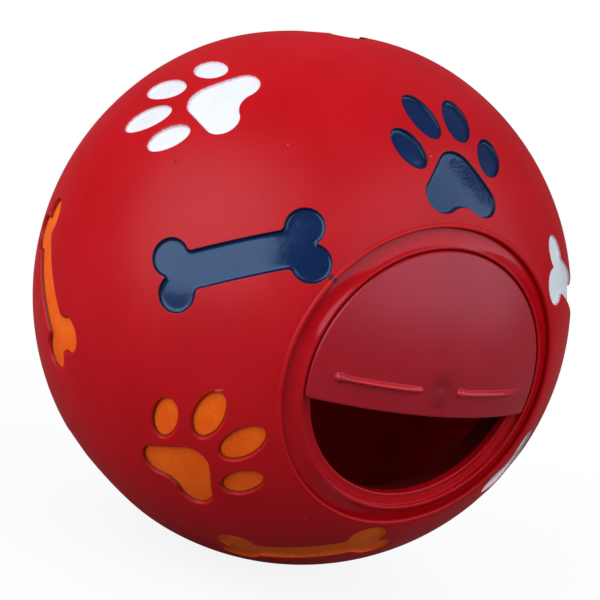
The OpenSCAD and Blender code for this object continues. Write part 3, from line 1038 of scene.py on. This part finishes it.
# %% Pin and gate
def prong(side):
    """Half of the split pin: a D with a hook at its end, drawn from the dome to the tip."""
    levels = [(dome_z + dome_inner_r + 0.6, pin_r), (hook_z + 0.1, pin_r), (hook_z, pin_r + hook_w - 0.1),
              (hook_z - 0.1, pin_r + hook_w), (pin_end_z + 0.25, pin_r - hook_w + 0.2),
              (pin_end_z, pin_r - hook_w - 0.1)]
    rows = []
    for z, radius in levels:
        reach = sqrt(radius ** 2 - (slot_w / 2) ** 2)
        start = atan2(slot_w / 2, reach)
        bow = np.linspace(start, pi - start, 25)
        curved = np.column_stack([radius * np.cos(bow), radius * np.sin(bow)])
        flat = np.linspace(-reach, reach, 9)[1:-1]
        plan = np.vstack([curved, np.column_stack([flat, np.full(len(flat), slot_w / 2)])])
        n = np.vstack([np.column_stack([np.cos(bow), np.sin(bow)]), np.tile((0, -1), (len(flat), 1))])
        if side < 0:
            plan, n = plan[::-1] * (1, -1), n[::-1] * (1, -1)
        rows.append(cap.row(raised(plan, z), raised(n, 0)))
    cap.join(*rows)
    for row, up in ((rows[0], 1), (rows[-1], -1)):
        cap.fan(row, np.vstack(cap.points)[row].mean(axis=0), (0, 0, up))


def gate_mark(plan, foot, high, radius):
    """A small round nub, sunk a little below its foot."""
    rows = []
    for lean in (-30, 0, 30, 60):
        out, up = circle(cos(radians(lean)), 20), sin(radians(lean))
        rows.append(cap.row(raised(plan + radius * out, foot + high * up), raised(out, up)))
    cap.join(*rows)
    for row, z, up in ((rows[0], foot - high * 0.5, -1), (rows[-1], foot + high, 1)):
        cap.fan(row, (*plan, z), (0, 0, up))


gate_high, gate_r, gate_drop = 0.32, 0.3, 0.5
gate = np.array([-0.4, 0.12 - shutter_edge])
gate_mark(gate, float(cap_height(gate[None])[0]) - gate_drop, gate_high, gate_r)
prong(1)
prong(-1)
shutter_cap = cap.object("shutter_cap", shutter_plastic, "shutter", "shutter", "shutter_plastic")
print("shutter:", len(shutter_cap.data.polygons), "faces")

# %% [markdown]
# ## Building materials from nodes
# A finish is a small graph of nodes. With one function call for each node, a graph reads as the idea behind
# it: a colour between two colours, a bump below another bump. Every texture sits in the piece's own
# coordinates, so it stays with the piece when the piece moves.

# %% Adding nodes
def graph(material):
    """A function that adds nodes to a material, and the piece's own coordinates to place textures by."""
    tree = material.node_tree

    def add(kind, inputs=(), output=0, **settings):
        """Adds a node, fills or links its inputs, and returns one of its outputs."""
        node = tree.nodes.new("ShaderNode" + kind)
        for name, value in settings.items():
            setattr(node, name, value)
        for name, value in dict(inputs).items():
            if isinstance(value, bpy.types.NodeSocket):
                tree.links.new(value, node.inputs[name])
            else:
                node.inputs[name].default_value = value
        return node.outputs[output]

    return add, add("TexCoord", output="Object")


def finish(material, **inputs):
    """Fills or links inputs of a material's shader."""
    shader = material.node_tree.nodes["Principled BSDF"]
    for name, value in inputs.items():
        name = name.replace("_", " ")
        if isinstance(value, bpy.types.NodeSocket):
            material.node_tree.links.new(value, shader.inputs[name])
        else:
            shader.inputs[name].default_value = value


print("a finish fills some of", len(vinyl.node_tree.nodes["Principled BSDF"].inputs), "inputs of its shader")

# %% [markdown]
# ### Sums and blends
# Most of a finish is arithmetic: one mask times another, or a share of one colour over a second. These few
# words keep such sums on one line.

# %% Sums and blends
def maths(add, operation, a, b=0.0):
    return add("Math", {0: a, 1: b}, operation=operation)


def times(add, a, b):
    return maths(add, "MULTIPLY", a, b)


def plus(add, a, b):
    return maths(add, "ADD", a, b)


def span(add, value, low, high, start, end, **settings):
    """A value from low to high mapped to start to end, and held beyond."""
    limits = {"Value": value, "From Min": low, "From Max": high, "To Min": start, "To Max": end}
    return add("MapRange", limits, **settings)


def blend(add, share, a, b):
    """Colour a where share is 0 and colour b where it is 1."""
    return add("Mix", {0: share, 6: a, 7: b}, 2, data_type="RGBA")


print("nodes in each finish so far:", [len(material.node_tree.nodes) for material in finishes.values()])

# %% [markdown]
# ## Floor, light and camera
# The photograph's rings round the port are ellipses. How flat they are and how they lean gives the
# direction of the lens as seen from the ball. The lights are placed from the same three directions: to
# the right of the picture, up in it, and towards the lens.

# %% Camera directions
centre = Vector((0, 0, ball_r * mm))
toward_camera = Vector((-0.5486, -0.7997, 0.2438)).normalized()
camera_right = Vector((0.8318, -0.4928, 0.2553))
camera_right = (camera_right - toward_camera * camera_right.dot(toward_camera)).normalized()
camera_up = toward_camera.cross(camera_right)
print(f"the lens looks down on the ball by {degrees(asin(toward_camera.z)):.1f} degrees")

# %% [markdown]
# ### Paper
# The ball stands on one sheet that curves up all round at a distance, so no view meets a corner. A flat
# floor would end in a horizon behind the ball.

# %% Paper sheet
def paper_sweep(flat_r, bend_r, wall_top, count=96):
    """A round floor that bends up into a wall, as one smooth sheet."""
    bends = [radians(a) for a in range(10, 91, 10)]
    profile = [(0.5, 0), (flat_r, 0)] + [(flat_r + bend_r * sin(a), bend_r * (1 - cos(a))) for a in bends]
    profile.append((flat_r + bend_r, wall_top))
    turn = np.linspace(0, 2 * pi, count, endpoint=False)
    points = [(0, 0, 0)] + [(r * cos(t), r * sin(t), z) for r, z in profile for t in turn]
    faces = [(0, 1 + i, 1 + (i + 1) % count) for i in range(count)]
    for low in range(1, 1 + (len(profile) - 1) * count, count):
        for i in range(count):
            beside = (i + 1) % count
            faces.append((low + i, low + count + i, low + count + beside, low + beside))
    mesh = bpy.data.meshes.new("studio_paper")
    mesh.from_pydata(points, [], faces)
    mesh.shade_smooth()
    return mesh


studio_paper = bpy.data.objects.new("studio_paper", paper_sweep(flat_r=4.0, bend_r=0.5, wall_top=0.75))
bpy.context.scene.collection.objects.link(studio_paper)
print("paper:", len(studio_paper.data.polygons), "faces")

# %% [markdown]
# ### White to the lens
# The photograph shows the ball cut out on white. More light would bleach the ball too, so the paper is grey
# to the light and white only to the lens: the Light Path node tells which kind of ray asks. Close to the
# ball the white is let down a little, so that the soft shadow shows. To rays that leave a glossy surface
# or come through glass the paper turns pale only far out, and only a little, because the photograph's
# plug and paint mirror a darker room between the soft boxes.

# %% Paper finish
def paper_material(lens_range, lens_low, mirror_range, mirror_high):
    """Paper that is white to the lens, and from further out also pale in gloss and through glass."""
    paper = new_material("pale_studio_paper")
    add, place = graph(paper)
    away = add("VectorMath", {0: place}, "Value", operation="LENGTH")

    def white_from(low, high, near_far, ray):
        return times(add, span(add, away, *near_far, low, high, interpolation_type="SMOOTHSTEP"), ray)

    lens_ray, gloss_ray, glass_ray = (add("LightPath", output=f"Is {kind} Ray")
                                      for kind in ("Camera", "Glossy", "Transmission"))
    mirror_ray = maths(add, "MAXIMUM", gloss_ray, glass_ray)
    share = maths(add, "MAXIMUM", white_from(lens_low, 1.0, lens_range, lens_ray),
                  white_from(0.0, mirror_high, mirror_range, mirror_ray))
    finish(paper, Base_Color=blend(add, lens_ray, (0.2, 0.2, 0.2, 1), (0.93, 0.93, 0.93, 1)),
           Roughness=0.9, Specular_IOR_Level=0.1)
    nodes = paper.node_tree.nodes
    lit = nodes["Principled BSDF"].outputs[0]
    mix = add("MixShader", {0: share, 1: lit, 2: add("Emission")})
    paper.node_tree.links.new(mix, nodes["Material Output"].inputs["Surface"])
    return paper


paper = paper_material(lens_range=(0.04, 0.3), lens_low=0.88, mirror_range=(0.6, 2.5), mirror_high=0.12)
studio_paper.data.materials.append(paper)
print("paper finish:", len(paper.node_tree.nodes), "nodes")

# %% [markdown]
# ### Soft boxes
# The blue paint and the glossy band mirror two large soft boxes, one on each side of the lens with a dark
# gap between them, so the scene has the same two. The right one is weaker and a little cooler. A weak fill
# lights the back, and glossy surfaces don't mirror it. An area light is set by the angles that it
# spans as seen from the ball, since these can be read off its mirror image in the photograph.

# %% Light
world = bpy.data.worlds.new("studio")
bpy.context.scene.world = world
world.use_nodes = True
background = world.node_tree.nodes["Background"]
background.inputs["Color"].default_value = (0.9, 0.95, 1, 1)
background.inputs["Strength"].default_value = 0.14
box_away = 0.85


def softbox(name, left, right, low, high, glow):
    """An area light that fills a span of angles from the lens, as seen from the ball, with that glow."""
    side, rise = radians((left + right) / 2), radians((low + high) / 2)
    way = camera_right * sin(side) * cos(rise) + camera_up * sin(rise) + toward_camera * cos(side) * cos(rise)
    across = camera_up.cross(way).normalized()
    along = way.cross(across)
    data = bpy.data.lights.new(name, "AREA")
    data.shape = "RECTANGLE"
    data.size = 2 * box_away * tan(radians(right - left) / 2)
    data.size_y = 2 * box_away * tan(radians(high - low) / 2)
    data.energy = glow * pi * data.size * data.size_y
    lamp = bpy.data.objects.new(name, data)
    lamp.matrix_world = Matrix((across, along, way)).transposed().to_4x4()
    lamp.matrix_world.translation = centre + way * box_away
    lamp.visible_camera = False
    bpy.context.scene.collection.objects.link(lamp)
    return lamp


left_softbox = softbox("left_softbox", left=-72, right=-11.5, low=1, high=55, glow=3.1)
right_softbox = softbox("right_softbox", left=20, right=101, low=-12, high=48, glow=1.75)
right_softbox.data.color = (0.84, 0.94, 1.0)
back_fill = softbox("back_fill", left=145, right=215, low=15, high=75, glow=1.7)
back_fill.visible_glossy = False
for lamp in (left_softbox, right_softbox, back_fill):
    print(lamp.name, "at", [round(v, 2) for v in lamp.location], f"{lamp.data.energy:.1f} W")

# %% [markdown]
# ### Camera
# A lens close to a ball sees much less than half of it. The port's place inside the outline shows that this
# lens was ten radii away, so it is a long one. A small shift puts the ball where the photograph has it,
# while the lens still aims at the ball's middle. A turned camera would stretch the round outline.

# %% Camera
# the photograph's width and the ball's middle in it, in pixels
photo_px, photo_centre = 600, (301.8, 295.6)
lens_away = 0.55
lens = bpy.data.cameras.new("product_lens")
lens.lens, lens.sensor_width = 160.77, 36.0
lens.shift_x = (photo_px / 2 - photo_centre[0]) / photo_px
lens.shift_y = (photo_centre[1] - photo_px / 2) / photo_px
lens.clip_start, lens.clip_end = 0.01, 50
camera = bpy.data.objects.new("product_camera", lens)
camera.matrix_world = Matrix((camera_right, camera_up, toward_camera)).transposed().to_4x4()
camera.matrix_world.translation = centre + toward_camera * lens_away
bpy.context.scene.collection.objects.link(camera)
bpy.context.scene.camera = camera
bpy.context.scene.view_settings.view_transform = "Standard"
print("camera at", [round(v, 3) for v in camera.matrix_world.translation], "m")

# %% [markdown]
# ## Finishes
# No surface of the real ball is one flat colour. Pigment clouds it, dust and scratches lie on it, and its
# gloss changes from place to place. Each of these is one texture here, at the real size of what it stands
# for, in millimetres.

# %% Textures
def per_mm(size):
    """The texture scale that makes features of this size in millimetres."""
    return 1000 / size


def noise(add, place, size, detail=2, rough=0.5, warp=0):
    return add("TexNoise", {"Vector": place, "Scale": per_mm(size), "Detail": detail, "Roughness": rough,
                            "Distortion": warp}, "Fac")


def carried(add, output):
    """The colour or the strength that the mesh carries at its points."""
    return add("Attribute", {}, output, attribute_name="row_tint_and_shade")


def bumped(add, height, depth, below=None):
    """Normals of a surface whose height swings by depth millimetres."""
    inputs = {"Height": height, "Distance": depth * mm, "Strength": 1.0}
    if below is not None:
        inputs["Normal"] = below
    return add("Bump", inputs)


def specks(add, place, spacing, size, share):
    """Small round spots of that size in a share of the cells."""
    cell = {"Vector": place, "Scale": per_mm(spacing)}
    near = span(add, add("TexVoronoi", cell, "Distance"), 0.5 * size / spacing, 0.75 * size / spacing, 1, 0)
    pick = add("SeparateColor", {"Color": add("TexVoronoi", cell, "Color")}, "Red")
    return times(add, near, maths(add, "LESS_THAN", pick, share))


def scratches(add, place, turn, length, width, share):
    """Hairlines that run one way, a share of them there at all."""
    turned_place = add("Mapping", {"Vector": place, "Rotation": [radians(a) for a in turn],
                                   "Scale": (1 / length, 1 / width, 1 / width)})
    bent = add("TexNoise", {"Vector": turned_place, "Scale": 1000.0, "Detail": 1.0}, "Fac")
    return span(add, bent, 1 - share, 1 - share + 0.04, 0, 1)


print("features of half a millimetre need a texture scale of", per_mm(0.5))

# %% [markdown]
# ### Marks
# Single marks in the photograph are found by their pixel: a ray through the lens gives the point of the
# skin, and from then on the mark belongs to the skin and shows in every view.

# %% Marks
def on_ball(x, y):
    """The point of the ball behind a pixel of the photograph."""
    ray = camera_right * (x - photo_centre[0]) + camera_up * (photo_centre[1] - y)
    ray -= toward_camera * (photo_px * lens.lens / lens.sensor_width)
    ray.normalize()
    start = toward_camera * lens_away
    along = ray.dot(start)
    missing = start.length_squared - (ball_r * mm) ** 2
    return centre + start - ray * (along + sqrt(max(0.0, along ** 2 - missing)))


def spot(add, place, where, size):
    """1 at one place, and 0 from that many millimetres away."""
    far = add("VectorMath", {0: place, 1: tuple(where)}, "Value", operation="DISTANCE")
    return span(add, far, 0.0, size * mm, 1, 0)


def smeared(add, place, where, size, grain):
    """A spot with a torn edge."""
    torn = times(add, maths(add, "SUBTRACT", noise(add, place, grain, 3, 0.6), 0.5), 1.3)
    return span(add, plus(add, spot(add, place, where, size), torn), 0.42, 0.6, 0, 1)


photo_middle = on_ball(photo_px / 2, photo_px / 2)
print("the photograph's middle lies at", [round(v / mm, 1) for v in photo_middle], "mm")

# %% [markdown]
# ### Soft vinyl
# The mould is blasted, so the skin is satin with a fine grain, and it is never quite flat. Soft vinyl sweats
# a little plasticiser, which reflects as a thin even coat, with hardly more gloss at a glancing angle, so
# the gloss sits on the shader's coat. Light enters the vinyl and comes out again a millimetre or two on,
# which softens the edges of the pockets, so some of its colour is subsurface light that is mostly red.
#
# Pigment clouds the skin slightly, and dust leaves a few pale and dark specks. Smears of paint lie beside
# two of the pictures. On the pocket walls lies a mist of paint, which on the orange and blue walls is
# painted shade: the mesh carries its colour and its strength, and a fine noise breaks it up into grains.

# %% Vinyl finish
gloss_tint = (1, 0.8, 1, 1)
orange_smear, blue_smear, scuff = (0.62, 0.075, 0.012), (0.01, 0.012, 0.04), (0.8, 0.2, 0.22)
# pixel across and down, size and grain in mm, share, colour
smears = [(384, 541, 1.7, 0.9, 0.8, orange_smear), (371, 549, 1.5, 0.8, 0.7, orange_smear),
          (336, 281, 1.3, 0.8, 0.8, blue_smear), (331, 277, 1.1, 0.6, 0.8, blue_smear),
          (216, 391, 0.5, 0.5, 0.5, scuff), (219, 390.5, 0.5, 0.5, 0.5, scuff),
          (222, 390, 0.45, 0.5, 0.5, scuff), (175, 162, 0.7, 0.6, 0.7, (0.1, 0.002, 0.004))]
add, place = graph(vinyl)
cloud = span(add, noise(add, place, 14, 3), 0.3, 0.7, 0, 1)
skin_red = blend(add, cloud, (0.455, 0.003, 0.0075, 1), (0.505, 0.005, 0.011, 1))
pale = times(add, specks(add, place, spacing=5.2, size=0.26, share=0.3), 0.55)
skin_red = blend(add, pale, skin_red, (0.86, 0.28, 0.28, 1))
other_place = add("Mapping", {"Vector": place, "Location": (0.031, 0.017, 0.007)})
dark = times(add, specks(add, other_place, spacing=9.5, size=0.4, share=0.3), 0.7)
skin_red = blend(add, dark, skin_red, (0.2, 0.002, 0.004, 1))
for x, y, size, grain, share, tint in smears:
    smear = times(add, smeared(add, place, on_ball(x, y), size, grain), share)
    skin_red = blend(add, smear, skin_red, (*tint, 1))
# the mesh's tint: a mist of paint on the walls, and painted shade on the orange and blue walls
mist_and_shade = carried(add, "Alpha")
grains = times(add, maths(add, "SUBTRACT", noise(add, place, 0.45, 3, 0.7), 0.5), 0.9)
misted_and_shaded = span(add, plus(add, mist_and_shade, grains), 0.2, 0.75, 0, 1)
misted_and_shaded = times(add, misted_and_shaded, span(add, mist_and_shade, 0, 0.1, 0, 1))
skin_bump = bumped(add, noise(add, place, 0.4, 2), 0.006, bumped(add, noise(add, place, 9, 2), 0.05))
finish(vinyl,
       Base_Color=blend(add, misted_and_shaded, skin_red, carried(add, "Color")),
       Roughness=plus(add, span(add, noise(add, place, 6), 0.3, 0.7, 0.34, 0.42), times(add, misted_and_shaded, 0.1)),
       Specular_IOR_Level=0.03, Specular_Tint=gloss_tint,
       Subsurface_Weight=0.3, Subsurface_Radius=(1.0, 0.12, 0.1), Subsurface_Scale=1.6 * mm,
       Coat_Weight=0.043, Coat_Roughness=0.38, Coat_IOR=3.4, Normal=skin_bump, Coat_Normal=skin_bump)
print("vinyl:", len(vinyl.node_tree.nodes), "nodes,", len(smears), "smears")

# %% [markdown]
# ### Glossy port plastic
# The plug comes from a polished mould, so it mirrors the soft boxes. Handling has left hairline scratches in
# two directions, and the flow of the plastic shows as a faint swirl in the gloss. Its inner walls are painted
# dark and made rough, as painted shade inside the throat, which the mesh marks.

# %% Plug finish
add, place = graph(plug_plastic)
swirl = span(add, noise(add, place, 8, 3, 0.5, 1.5), 0.3, 0.7, 0, 1)
fine = plus(add, scratches(add, place, turn=(20, 35, 50), length=9, width=0.22, share=0.34),
            scratches(add, place, turn=(-40, 15, 110), length=6, width=0.2, share=0.3))
dust = specks(add, place, spacing=4.0, size=0.2, share=0.16)
# where the mesh marks the inner walls, their colour is painted dark red as painted shade
painted_inner_shade = carried(add, "Alpha")
plug_red = blend(add, swirl, (0.42, 0.002, 0.005, 1), (0.47, 0.003, 0.008, 1))
plug_red = blend(add, times(add, dust, 0.4), plug_red, (0.8, 0.3, 0.3, 1))
gloss = plus(add, span(add, swirl, 0, 1, 0.11, 0.17), times(add, fine, 0.12))
finish(plug_plastic,
       Base_Color=blend(add, painted_inner_shade, plug_red, (0.11, 0.001, 0.002, 1)),
       Roughness=plus(add, gloss, times(add, painted_inner_shade, 0.5)),
       Specular_IOR_Level=0.27, Specular_Tint=gloss_tint,
       Normal=bumped(add, noise(add, place, 5, 2), 0.02, bumped(add, fine, -0.003)))
print("plug:", len(plug_plastic.node_tree.nodes), "nodes")

# %% [markdown]
# ### Satin shutter plastic
# The shutter's mould is spark eroded, which leaves a fine even texture and a soft sheen. Two soft dark spots
# of painted shade lie over the hollows where the plastic is thicker over the pin. Fingers have worn the
# texture off the ribs, which are more polished than the dome, and their colour is painted brighter as a
# painted highlight. Dust and hairline scratches lie all over it.

# %% Shutter finish
# up from the port's middle and size of each dark spot of painted shade, in mm
sink_shade_spots = [(1.3, 4.0), (-2.6, 3.2)]
add, place = graph(shutter_plastic)
cloud = span(add, noise(add, place, 11, 3), 0.3, 0.7, 0, 1)
fine = scratches(add, place, turn=(60, 10, 20), length=7, width=0.2, share=0.33)
dust = specks(add, place, spacing=2.6, size=0.2, share=0.3)
texture = noise(add, place, 0.32, 3, 0.6)
shutter_red = blend(add, cloud, (0.35, 0.004, 0.010, 1), (0.39, 0.005, 0.013, 1))
# each spot paints the shutter darker red, as painted shade over a sink hollow
for y, size in sink_shade_spots:
    plan = np.array([(0.2, y)])
    middle = stand(raised(plan, cap_height(plan)))[0]
    torn = span(add, noise(add, place, 1.1), 0.3, 0.6, 0.8, 1.2)
    sink_shade = times(add, spot(add, place, middle, size), torn)
    shutter_red = blend(add, sink_shade, shutter_red, (0.26, 0.001, 0.004, 1))
across = maths(add, "ABSOLUTE", add("SeparateXYZ", {"Vector": place}, "X"))
over_axis = maths(add, "SUBTRACT", add("SeparateXYZ", {"Vector": place}, "Z"), ball_r * mm)
beside = maths(add, "ABSOLUTE", over_axis)
# the ribs are painted brighter red as a painted highlight, and are made glossier
rib_polish_and_highlight = times(add, span(add, beside, 0.4 * mm, 0.8 * mm, 1, 0), span(add, across, 3.8 * mm, 4.5 * mm, 0, 1))
rib_polish_and_highlight = times(add, rib_polish_and_highlight, span(add, across, 16.5 * mm, 21.5 * mm, 1, 0))
shutter_red = blend(add, rib_polish_and_highlight, shutter_red, (0.52, 0.004, 0.012, 1))
polished = plus(add, times(add, fine, 0.08), times(add, rib_polish_and_highlight, 0.1))
finish(shutter_plastic,
       Base_Color=blend(add, times(add, dust, 0.35), shutter_red, (0.75, 0.3, 0.33, 1)),
       Roughness=maths(add, "SUBTRACT", span(add, noise(add, place, 5), 0.3, 0.7, 0.34, 0.4), polished),
       Specular_IOR_Level=0.47, Specular_Tint=gloss_tint,
       Normal=bumped(add, texture, 0.005, bumped(add, noise(add, place, 8, 2), 0.03)))
print("shutter:", len(shutter_plastic.node_tree.nodes), "nodes")

# %% [markdown]
# ### Paints
# The blue is a thick gloss whose surface keeps the waves of spraying, known as orange peel, and in places
# the marks of the pad that pressed it down. The orange is a thin coat that dries to grains and lets the
# red through. The white is between the two. Each coat thins towards its edge, where the mesh says how
# near the edge is. One function makes all three, because they differ only in their numbers.

# %% Paint finishes
def paint_finish(material, body, shade, thin, grain, wave, rough, level, grit=0.0, marks=(), stipple=()):
    """A coat that varies from body to shade, and shows the thin colour at its edges and marks."""
    add, place = graph(material)
    grains = noise(add, place, grain, 3, 0.65)
    mixed = plus(add, times(add, grains, 0.6 + 0.4 * grit), noise(add, place, 5, 3))
    colour = blend(add, span(add, mixed, 0.75, 1.1, 0, 1), (*body, 1), (*shade, 1))
    worn = plus(add, carried(add, "Alpha"), maths(add, "SUBTRACT", grains, 0.5))
    colour = blend(add, span(add, worn, 0.55, 1.15, 0, 0.9), colour, (*thin, 1))
    pits = specks(add, place, spacing=3.1, size=0.22, share=0.35)
    colour = blend(add, times(add, pits, 0.5), colour, (*thin, 1))
    for x, y, wide in marks:
        mark = span(add, spot(add, place, on_ball(x, y), wide), 0.25, 0.6, 0, 0.9)
        colour = blend(add, mark, colour, (*thin, 1))
    peel, peel_depth = wave
    waves = bumped(add, noise(add, place, peel, 2), peel_depth)
    for x, y, wide, deep in stipple:
        dimples = times(add, noise(add, place, 0.5, 2), spot(add, place, on_ball(x, y), wide))
        waves = bumped(add, dimples, deep, waves)
    finish(material, Base_Color=colour, Specular_IOR_Level=level,
           Roughness=span(add, grains, 0.3, 0.7, *rough),
           Normal=bumped(add, grains, 0.004 + 0.03 * grit, waves))


# pixel across and down, size in mm, and for the stipple its depth in mm
blue_marks = [(454.5, 188.5, 0.42), (452.5, 185.5, 0.3), (456, 190.5, 0.3)]
blue_stipple = [(468, 172, 4.0, 0.5), (479, 184, 4.0, 0.5), (487, 197, 3.4, 0.4), (311, 238, 5.5, 0.05)]
paint_finish(paints["blue"], body=(0.0045, 0.016, 0.074), shade=(0.006, 0.021, 0.092),
             thin=(0.003, 0.005, 0.025), grain=0.9, wave=(3.2, 0.03), rough=(0.12, 0.2), level=0.52,
             marks=blue_marks, stipple=blue_stipple)
paint_finish(paints["white"], body=(0.79, 0.82, 0.86), shade=(0.76, 0.77, 0.845),
             thin=(0.68, 0.53, 0.62), grain=0.6, wave=(4.0, 0.02), rough=(0.32, 0.42), level=0.3)
paint_finish(paints["orange"], body=(1.0, 0.175, 0.008), shade=(0.92, 0.11, 0.005),
             thin=(0.42, 0.065, 0.008), grain=0.4, wave=(4.5, 0.02), rough=(0.45, 0.6), level=0.15, grit=1.0)
finish(paints["blue"], Specular_Tint=(0.45, 0.72, 1, 1))
for name, material in finishes.items():
    print(name, "finish:", len(material.node_tree.nodes), "nodes")
